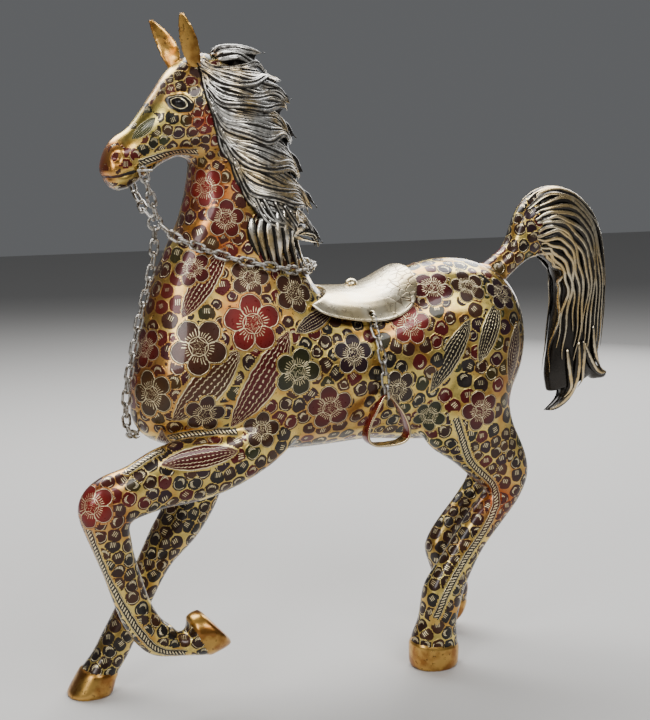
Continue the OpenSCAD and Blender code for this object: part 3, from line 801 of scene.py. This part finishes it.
def band_spans(motifs):
    """For each face on a band, its kind, the nearest point of its line, the way on and the length there."""
    spans = {}
    for kind, side, line in BANDS:
        route = np.array([on_side(motifs.tree, x, z, side)[0] for x, z in curve_through(line, 60)])
        length = np.concatenate([[0], np.cumsum(np.linalg.norm(np.diff(route, axis=0), axis=1))])
        lookup = KDTree(len(route))
        for i, p in enumerate(route):
            lookup.insert(p, i)
        lookup.balance()
        near = np.nonzero((motifs.centres[:, 1] * side > 0) & ~motifs.taken)[0]
        low, high = route.min(0) - BAND_HALF, route.max(0) + BAND_HALF
        near = near[np.all((motifs.centres[near] > low) & (motifs.centres[near] < high), axis=1)]
        for face in near:
            _, i, distance = lookup.find(motifs.centres[face])
            if distance > BAND_HALF + 0.8:
                continue
            motifs.taken[face] = True
            if distance < BAND_HALF and 0 < i < len(route) - 1:
                spans[face] = (kind, route[i], unit(route[i + 1] - route[i - 1]), length[i])
    return spans


def blobs_at(p):
    """The gap and the scale of the blobs at that place."""
    if p[2] > 312 and p[0] < -98:
        return HEAD_BLOBS
    if p[2] > 155 and p[0] < 104:
        return TRUNK_BLOBS
    return LEG_BLOBS


def scatter_blobs(motifs):
    """Places blobs at random, no closer than the gap, on the faces that no larger motif took."""
    for x, y, z, radius in BARE:
        for side in SIDES:
            motifs.taken |= ((motifs.centres - (x, side * y, z)) ** 2).sum(1) < radius**2
    free = np.nonzero(~motifs.taken & (hoof_depth(motifs.centres) < 0))[0]
    rng.shuffle(free)
    cells = {}
    chosen = []
    for face in free:
        p = motifs.centres[face]
        gap = blobs_at(p)[0]
        key = tuple((p // TRUNK_BLOBS[0]).astype(int))
        spread = itertools.product(*[(k - 1, k, k + 1) for k in key])
        if any(((p - q) ** 2).sum() < gap**2 for cell in spread for q in cells.get(cell, ())):
            continue
        cells.setdefault(key, []).append(p)
        chosen.append(face)
    lookup = KDTree(len(chosen))
    first = len(motifs.all)
    for i, face in enumerate(chosen):
        p, normal = motifs.centres[face], motifs.face_normals[face]
        colours = BLOB_COLOURS[:DARK_COLOURS] if p[2] < DARK_HEIGHT else BLOB_COLOURS
        colour = colours[rng.integers(len(colours))]
        along = rng.normal(size=3) * 0.7 + (0, 0, 1)
        scale = blobs_at(p)[1]
        motifs.start("blob", p, np.cross(along, normal), normal, colour, (scale, scale))
        lookup.insert(p, i)
    lookup.balance()
    for face in free:
        _, i, distance = lookup.find(motifs.centres[face])
        if distance < BLOB_REACH * motifs.all[first + i].scale[0]:
            motifs.owner[face] = first + i
    return lookup


def heading(turn):
    angle = math.radians(turn)
    return np.array([math.cos(angle), 0, math.sin(angle)])


def engrave_side(motifs, side):
    """The eye, the nostril, the flowers and the leaves of one side."""
    for kind, x, z, turn, size, colour in EYES:
        origin, normal = on_side(motifs.tree, x, z, side)
        motif = motifs.start(kind, origin, side * -heading(turn), normal, colour, (size, size))
        motifs.claim(motif, EYE_REACH, in_eye, 0.5)
    for x, z, colour, turn, size in FLOWERS:
        origin, normal = on_side(motifs.tree, x, z, side)
        motif = motifs.start("flower", origin, heading(turn), normal, colour, (size, size))
        motifs.claim(motif, FLOWER_REACH, in_flower, 0.9)
    for start, end, half, colour in LEAVES:
        a, b = [on_side(motifs.tree, *tip, side)[0] for tip in (start, end)]
        origin, normal = on_side(motifs.tree, (start[0] + end[0]) / 2, (start[1] + end[1]) / 2, side)
        scale = (np.linalg.norm(b - a) / 2 / LEAF_HALF, half / LEAF_WIDE)
        motif = motifs.start("leaf", origin, b - a, normal, colour, scale)
        motifs.claim(motif, LEAF_HALF, in_leaf, 0.9)


def add_charts(mesh, co, motifs, spans):
    """Writes each corner's place on its motif's chart and its paint, and each face's material."""
    totals = read(mesh.polygons, "loop_total", 1, np.int64)
    corners = read(mesh.loops, "vertex_index", 1, np.int64)
    owner = np.repeat(motifs.owner, totals)
    has = owner >= 0
    kinds, *fields = zip(*motifs.all)
    origin, along, across, colour, scale, seed = [np.array(values)[owner[has]] for values in fields]
    offset = co[corners[has]] - origin
    chart = np.zeros((len(corners), 3))
    chart[has, :2] = unrolled(offset, along, across) / scale
    chart[has, 2] = seed
    lacquer = np.ones((len(corners), 4))
    lacquer[has, :3] = colour
    kind = np.array([KINDS.index(k) for k in kinds])
    material = np.where(motifs.owner >= 0, kind[motifs.owner], 0)
    first = np.cumsum(totals) - totals
    for face, (name, point, way, start) in spans.items():
        material[face] = KINDS.index(name)
        cross = np.cross(motifs.face_normals[face], way)
        for corner in range(first[face], first[face] + totals[face]):
            step = co[corners[corner]] - point
            chart[corner] = (start + step @ way, step @ cross, 0.5)
            lacquer[corner, :3] = BLACK
    material[hoof_depth(motifs.centres) > 0] = KINDS.index("hoof")
    mesh.attributes.new("chart", "FLOAT_VECTOR", "CORNER").data.foreach_set("vector", chart.ravel())
    mesh.attributes.new("lacquer", "FLOAT_COLOR", "CORNER").data.foreach_set("color", lacquer.ravel())
    mesh.polygons.foreach_set("material_index", material.astype(np.int32))


def add_tints(mesh, co):
    """Gives each vertex the colour of its strongest tint, with the strength as alpha."""
    tint = np.zeros((len(co), 4))
    for x, y, z, radius, colour, strength in TINTS_AND_SHADE:
        weight = strength * np.exp(-((co - (x, y, z)) ** 2).sum(1) / radius**2)
        better = weight > tint[:, 3]
        tint[better, :3] = colour
        tint[better, 3] = weight[better]
    mesh.attributes.new("tint", "FLOAT_COLOR", "POINT").data.foreach_set("color", tint.ravel())


def engrave(mesh):
    """Lays the motifs out over the skin, and gives it their materials and what those read."""
    for name, pattern in PATTERNS.items():
        mesh.materials.append(skin_material("skin_" + name, pattern))
    mesh.materials.append(plain_brass("hoof_brass"))
    co = coordinates(mesh) / MM
    centres = read(mesh.polygons, "center", 3) / MM
    motifs = Motifs(centres, read(mesh.polygons, "normal", 3), tree_of(mesh))
    for side in SIDES:
        engrave_side(motifs, side)
    spans = band_spans(motifs)
    lookup = scatter_blobs(motifs)
    nearest = [lookup.find_n(p, 2) for p in co]
    add_values(mesh, "room", [(two[1][2] - two[0][2]) / 2 for two in nearest])
    add_charts(mesh, co, motifs, spans)
    add_tints(mesh, co)


def add_skin():
    mesh = remeshed("skin", SKIN_NODES, VOXEL)
    sculpt(mesh)
    engrave(mesh)
    add_object("skin", mesh, SKIN_NODES)
    return tree_of(mesh)


# ---- Locks of hair ----


CORE_VOXEL = 1.4
CORE_INSET = 1.1
CORE_RIDGE = 0.12
SURFACE_VOXEL = 1.6


class Locks:
    """Tapered locks of hair, gathered as one list of points, of their ridge heights and of faces."""

    def __init__(self):
        self.points = []
        self.ridges = []
        self.faces = []

    def add(self, path, outward, half_width, strands, shine=1.0):
        """Adds one lock along path (mm), whose top faces outward and carries that many strands."""
        stations, around = len(path), 4 * strands + 4
        tangent = unit(np.gradient(path, axis=0))
        up = unit(outward - tangent * (outward * tangent).sum(1)[:, None])
        side = np.cross(tangent, up)
        base = len(self.points)
        for i in range(stations):
            t = i / (stations - 1)
            wide = half_width * min(1.0, 0.45 + 2.2 * t) * (1 - t**3) ** 0.9 + 0.25
            thick = wide * 0.42
            for j in range(around + 1):
                s = 2 * j / around - 1
                strand = abs(math.sin(math.pi * strands * (s + 1) / 2 + 0.6 * math.sin(5 * t + base)))
                dome = math.sqrt(max(0.0, 1 - s * s))
                height = thick * dome * (0.45 + 0.75 * strand)
                self.points.append(path[i] + side[i] * s * wide + up[i] * height)
                self.ridges.append(strand * (0.3 + 0.7 * dome) * shine)
            for s in (0.5, -0.5):
                self.points.append(path[i] + side[i] * s * wide - up[i] * thick * 0.5)
                self.ridges.append(0.0)
        self.faces += [tuple(base + k for k in face) for face in ring_faces(stations, around + 3)]

    def lay(self, trees, path, lift, half_width, strands, shine=1.0):
        """Adds one lock along the path as it lies on these surfaces."""
        self.add(*lay_on(trees, path, lift), half_width, strands, shine)


def outermost(trees, x, z, side):
    """The hit that is furthest out to that side on any of these surfaces, as a place and a normal."""
    best = None
    for tree in trees:
        start = Vector((x * MM, side * 0.08, z * MM))
        place, normal, _, _ = tree.ray_cast(start, Vector((0, -side, 0)), 0.08)
        if place is not None and (best is None or place[1] * side > best[0][1] * side):
            best = (place, normal)
    return best


def lay_on(trees, path, lift):
    """The path moved sideways onto the surface and lifted off it, with the surface's normals."""
    placed, outward = [], []
    for p in path:
        hit = outermost(trees, p[0], p[2], LEFT if p[1] < 0 else RIGHT)
        place, normal = hit or trees[0].find_nearest(Vector(p) * MM)[:2]
        placed.append(np.array(place) / MM + np.array(normal) * lift)
        outward.append(np.array(normal))
    return low_pass_line(np.array(placed)), low_pass_line(np.array(outward))


def low_pass_line(values):
    for _ in range(3):
        inner = (values[:-2] + 2 * values[1:-1] + values[2:]) / 4
        values = np.concatenate([values[:1], inner, values[-1:]])
    return values


def upright(line, y):
    """The x, z line as a path at that y."""
    return np.stack([line[:, 0], np.broadcast_to(y, len(line)), line[:, 1]], 1)


def hair_piece(name, node, material, locks):
    """A core that fills the CAD casting, with the locks laid on it, as one mesh."""
    core = remeshed(name, [node], CORE_VOXEL, 10)
    co = coordinates(core) / MM - normals(core) * CORE_INSET
    every = np.clip(np.concatenate([co, np.array(locks.points)]), LOW, HIGH) * MM
    faces = [tuple(p.vertices) for p in core.polygons]
    faces += [tuple(len(co) + i for i in face) for face in locks.faces]
    mesh = bpy.data.meshes.new(name)
    mesh.from_pydata(every.tolist(), [], faces)
    add_values(mesh, "ridge", [CORE_RIDGE] * len(co) + locks.ridges)
    mesh.materials.append(material)
    add_object(name, mesh, [node])


# The front edge of the mane, from the poll to the withers: x, z
MANE_FRONT = [
    (-112, 387), (-110, 374), (-107, 360), (-101, 347),
    (-95, 334), (-91, 322), (-82, 310), (-64, 303),
]
# Clumps of the mane: shares of the front edge where they start and end, and their tip in x, z
CLUMPS = [
    (0.0, 0.07, (-56, 377)), (0.0, 0.19, (-51, 361)), (0.08, 0.32, (-50, 341)),
    (0.21, 0.48, (-45, 320)), (0.36, 0.67, (-37, 299)), (0.55, 1.0, (-32, 277)),
]
CLUMP_STRANDS = 10
CHEEK_LOCKS = [
    [(-109, 385), (-109, 374), (-107, 362), (-104, 353), (-99, 347)],
    [(-105, 380), (-105, 366), (-101, 356), (-95, 349)],
]
# Locks with a root and a tip in x, z: a fan at the foot of the mane, and two rows over the poll
FAN = [
    ((-84, 296), (-81, 274)), ((-78, 296), (-76, 268)), ((-73, 298), (-71, 265)),
    ((-68, 300), (-66, 264)), ((-63, 301), (-60, 264)), ((-58, 301), (-54, 264)),
    ((-53, 300), (-48, 264)), ((-48, 298), (-43, 263)), ((-43, 295), (-38, 262)),
]
FAN_SHINE = 1.35
RIGHT_FAN_START = -66
POLL_LOCKS = [((-107, 389), (-70, 391)), ((-104, 386), (-72, 383))]


def surface_of(node):
    """The CAD casting's own surface, smoothed, for hair to lie on."""
    return tree_of(remeshed(node + "_surface", [node], SURFACE_VOXEL, 10))


def clump_line(root, tip, share):
    """A strand in x, z: down from its root, level in the middle, and down again into the tip."""
    drop = root[1] - tip[1]
    knots = [
        root,
        root + np.array([8.0, -0.34 * drop - 3]),
        root * 0.45 + tip * 0.55 + np.array([0.0, -5.5 + 5 * share]),
        root * 0.16 + tip * 0.84 + np.array([1.0, 1.5 + 3.5 * share]),
        tip,
    ]
    return curve_through(knots, 30)


def lay_clump(locks, surfaces, clump, side):
    """The strands of one clump on one side, each with its tip half free of the surface."""
    front = curve_through(MANE_FRONT, 101)
    first, last, tip = CLUMPS[clump]
    for i in range(CLUMP_STRANDS):
        share = i / (CLUMP_STRANDS - 1)
        root = front[int(100 * (first + (last - first) * share))]
        if side == RIGHT:
            root = root + (13, 0)
        end = np.array(tip, float) + (-3.5 * abs(share - 0.5), 2 - 5 * share)
        line = clump_line(root, end, 1 - share)
        t = np.linspace(0, 1, len(line))
        wave = 1.5 * np.sin(13 * t + 0.7 * i + 2 * clump) + 0.5 * np.sin(21 * t + 2 * i)
        line[:, 1] += wave * np.sin(math.pi * t)
        path = upright(line, (20 - 16 * t**1.8) * side)
        laid, outward = lay_on(surfaces, path, 0.1 + 1.5 * share)
        free = np.clip((t - 0.82) / 0.18, 0, 1)[:, None]
        laid = laid * (1 - free) + (path + laid) / 2 * free
        half_width, strands = (1.8, 1) if i % 3 else (2.6, 2)
        locks.add(laid, outward, half_width, strands)


def add_mane(skin):
    tree = surface_of("mane")
    locks = Locks()
    for side in SIDES:
        for clump in range(len(CLUMPS)):
            lay_clump(locks, [tree, skin], clump, side)
        for (x, z), (x_end, z_end) in FAN:
            if side == RIGHT and x < RIGHT_FAN_START:
                continue
            middle = ((x + x_end) / 2 - 2, side * 26, (z + z_end) / 2)
            path = curve_through([(x, side * 24, z), middle, (x_end, side * 28, z_end)], 16)
            locks.lay([tree, skin], path, 0.6, 2.9, 1, FAN_SHINE)
    for line in CHEEK_LOCKS:
        locks.lay([tree, skin], upright(curve_through(line, 24), LEFT * 20), 0.6, 2.6, 2)
    for (x, z), (x_end, z_end) in POLL_LOCKS:
        for y in (-9, -3, 3):
            middle = ((x + x_end) / 2, y, z + 3)
            path = curve_through([(x, y * 1.2, z), middle, (x_end, y * 0.5, z_end)], 20)
            locks.lay([tree], path, 0.4, 4.2, 2)
    hair_piece("mane_hair", "mane", hair_material("mane_metal", 0.80, (0.88, 0.85, 0.78, 1)), locks)


# The tail's outer and inner edges, and the locks at its end: x, z
TAIL_OUTER = [
    (119, 300), (127, 306), (141, 310), (157, 306), (170, 297),
    (180, 281), (185, 259), (187, 236), (186, 210), (184, 192),
]
TAIL_INNER = [
    (126, 264), (133, 262), (136, 260), (141, 255), (144, 247),
    (145, 238), (145, 228), (143, 215), (141, 199), (140, 184),
]
CURL_TIPS = [
    [(165, 203), (172, 190), (183, 181), (192, 181)],
    [(172, 215), (176, 196), (186, 184), (192, 182)],
    [(160, 205), (161, 186), (159, 168), (151, 159), (142, 156)],
    [(152, 200), (155, 184), (157, 171), (153, 162)],
    [(164, 205), (165, 188), (168, 170)],
]


def add_tail(skin):
    tree = surface_of("tail_hair")
    locks = Locks()
    outer, inner = curve_through(TAIL_OUTER, 61), curve_through(TAIL_INNER, 61)
    for side in SIDES:
        for i, share in enumerate(np.linspace(0.04, 0.97, 14)):
            start, end = (i * 5) % 4, 60 - (i * 7) % 11
            line = (inner * (1 - share) + outer * share)[start : end + 1]
            t = np.linspace(0, 1, len(line))
            wave = 1.1 * np.sin(11 * t + i) + 0.8 * np.sin(27 * t + 1.9 * i)
            line = line + np.stack([wave, 0.6 * wave + 0.5 * np.sin(17 * t + 2 * i)], 1)
            locks.lay([tree, skin], upright(line, side * 16), 0.1, 2.3, 1)
        for line in CURL_TIPS:
            locks.lay([tree], upright(curve_through(line, 22), side * 8), 0.1, 2.5, 1)
    for y in (-7, -2.5, 2.5, 7):
        locks.lay([tree, skin], upright(outer[:52:2] + 2, y), 0.1, 2.6, 1)
    hair_piece("tail_locks", "tail_hair", hair_material("tail_metal", 0.72, (0.80, 0.70, 0.50, 1)), locks)


# ---- Ears, saddle and stirrups ----

# The right ear's turn in radians, its curl in mm, and how much wider it is made
EAR_TURN = -0.75
EAR_CURL = 3.0
EAR_SPREAD = 1.15


def turned_ear(co):
    """The ear turned about its own length, more towards its tip, and curled forward."""
    base, top = co[:, 2].min(), co[:, 2].max()
    share = np.clip((co[:, 2] - base) / (top - base), 0, 1)
    axis = np.stack([np.interp(co[:, 2], *spine_of(co, k)) for k in (0, 1)], 1)
    angle = EAR_TURN * np.minimum(1, 2 * share)
    x, y = (co[:, :2] - axis).T
    cos, sin = np.cos(angle), np.sin(angle)
    turned = np.stack([x * cos - y * sin, x * sin + y * cos], 1)
    curl = EAR_CURL * MM * np.sin(math.pi * share)
    return np.column_stack([axis + turned * EAR_SPREAD + curl[:, None] * (1, 0), co[:, 2]])


def spine_of(co, k):
    """Heights and the middle of the shape along axis k at each of them."""
    heights = np.linspace(co[:, 2].min(), co[:, 2].max(), 13)
    reach = heights[1] - heights[0]
    near = [np.abs(co[:, 2] - h) < reach for h in heights]
    return heights, np.array([(co[m, k].min() + co[m, k].max()) / 2 for m in near])


def add_ears():
    """Leaf-shaped ears, remeshed from the CAD ears and smoothed, with the right one turned."""
    material = plain_brass("ear_brass", (0.66, 0.37, 0.09, 1), 0.2)
    for node in ("left_ear", "right_ear"):
        mesh = remeshed(node + "_leaf", [node], 0.55, 6)
        if node == "right_ear":
            put_coordinates(mesh, turned_ear(coordinates(mesh)))
        mesh.materials.append(material)
        add_object(node + "_leaf", mesh, [node])


def add_saddle():
    mesh = remeshed("saddle_plate", ["saddle"], 0.42, 60)
    material = saddle_material()
    mesh.materials.append(material)
    add_object("saddle_plate", mesh, ["saddle"])
    return material


# Half a stirrup, from its top to the tread: shares of half the width, of the height and of the breadth
STIRRUP_HALF = [
    (0, 0, 0.15), (0.2, 0.035, 0.36), (0.54, 0.25, 0.72), (0.85, 0.5, 0.8),
    (1, 0.72, 0.9), (0.93, 0.88, 0.98), (0.6, 0.975, 1), (0, 1, 1),
]
STIRRUP_THICK = 1.9
STIRRUP_AROUND = 16


def add_stirrups():
    material = enamel_material()
    half = curve_through(STIRRUP_HALF, 50)
    loop_rows = np.concatenate([half, half[-2:0:-1] * (-1, 1, 1)])
    for name in ("left_stirrup", "right_stirrup"):
        low, high = [np.array(corner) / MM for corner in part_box(name)]
        middle, size = (low + high) / 2, high - low
        centres = loop_rows[:, :2] * ((size[0] - STIRRUP_THICK) / 2, -(size[2] - STIRRUP_THICK))
        way = unit(np.roll(centres, -1, 0) - np.roll(centres, 1, 0))
        points, ridges = [], []
        for centre, (dx, dz), (_, down, breadth) in zip(centres, way, loop_rows):
            place = np.array([middle[0] + centre[0], middle[1], high[2] - STIRRUP_THICK / 2 + centre[1]])
            for j in range(STIRRUP_AROUND):
                b = 2 * math.pi * j / STIRRUP_AROUND
                edge = abs(math.cos(b)) ** 0.3 * math.copysign(1, math.cos(b))
                thick = abs(math.sin(b)) ** 0.5 * math.copysign(1, math.sin(b))
                out = np.array([-dz, 0, dx]) * thick * STIRRUP_THICK / 2
                points.append(place + out + (0, edge * breadth * size[1] / 2, 0))
                inside = down > 0.9 and out @ (place - middle) < 0
                ridges.append(1.0 if abs(edge) > 0.97 else (0.9 if inside else 0.0))
        mesh = bpy.data.meshes.new(name + "_band")
        faces = ring_faces(len(loop_rows), STIRRUP_AROUND, True)
        mesh.from_pydata([tuple(p * MM) for p in points], [], faces)
        add_values(mesh, "ridge", ridges)
        mesh.materials.append(material)
        add_object(name + "_band", mesh, [name], name + "_loop")


def dress(nodes, material):
    for node in nodes:
        mesh = NODES[node].data
        mesh.materials.clear()
        mesh.materials.append(material)


add_camera()
add_floor()
add_lights()
skin_surface = add_skin()
add_mane(skin_surface)
add_tail(skin_surface)
add_ears()
plate = add_saddle()
add_stirrups()
dress(["saddle_screw", "saddle_boss"], plate)
STEEL_WORDS = ("link", "chain", "rein", "ring", "bit_bar")
dress([node for node in NODES if any(word in node for word in STEEL_WORDS)], steel_material())
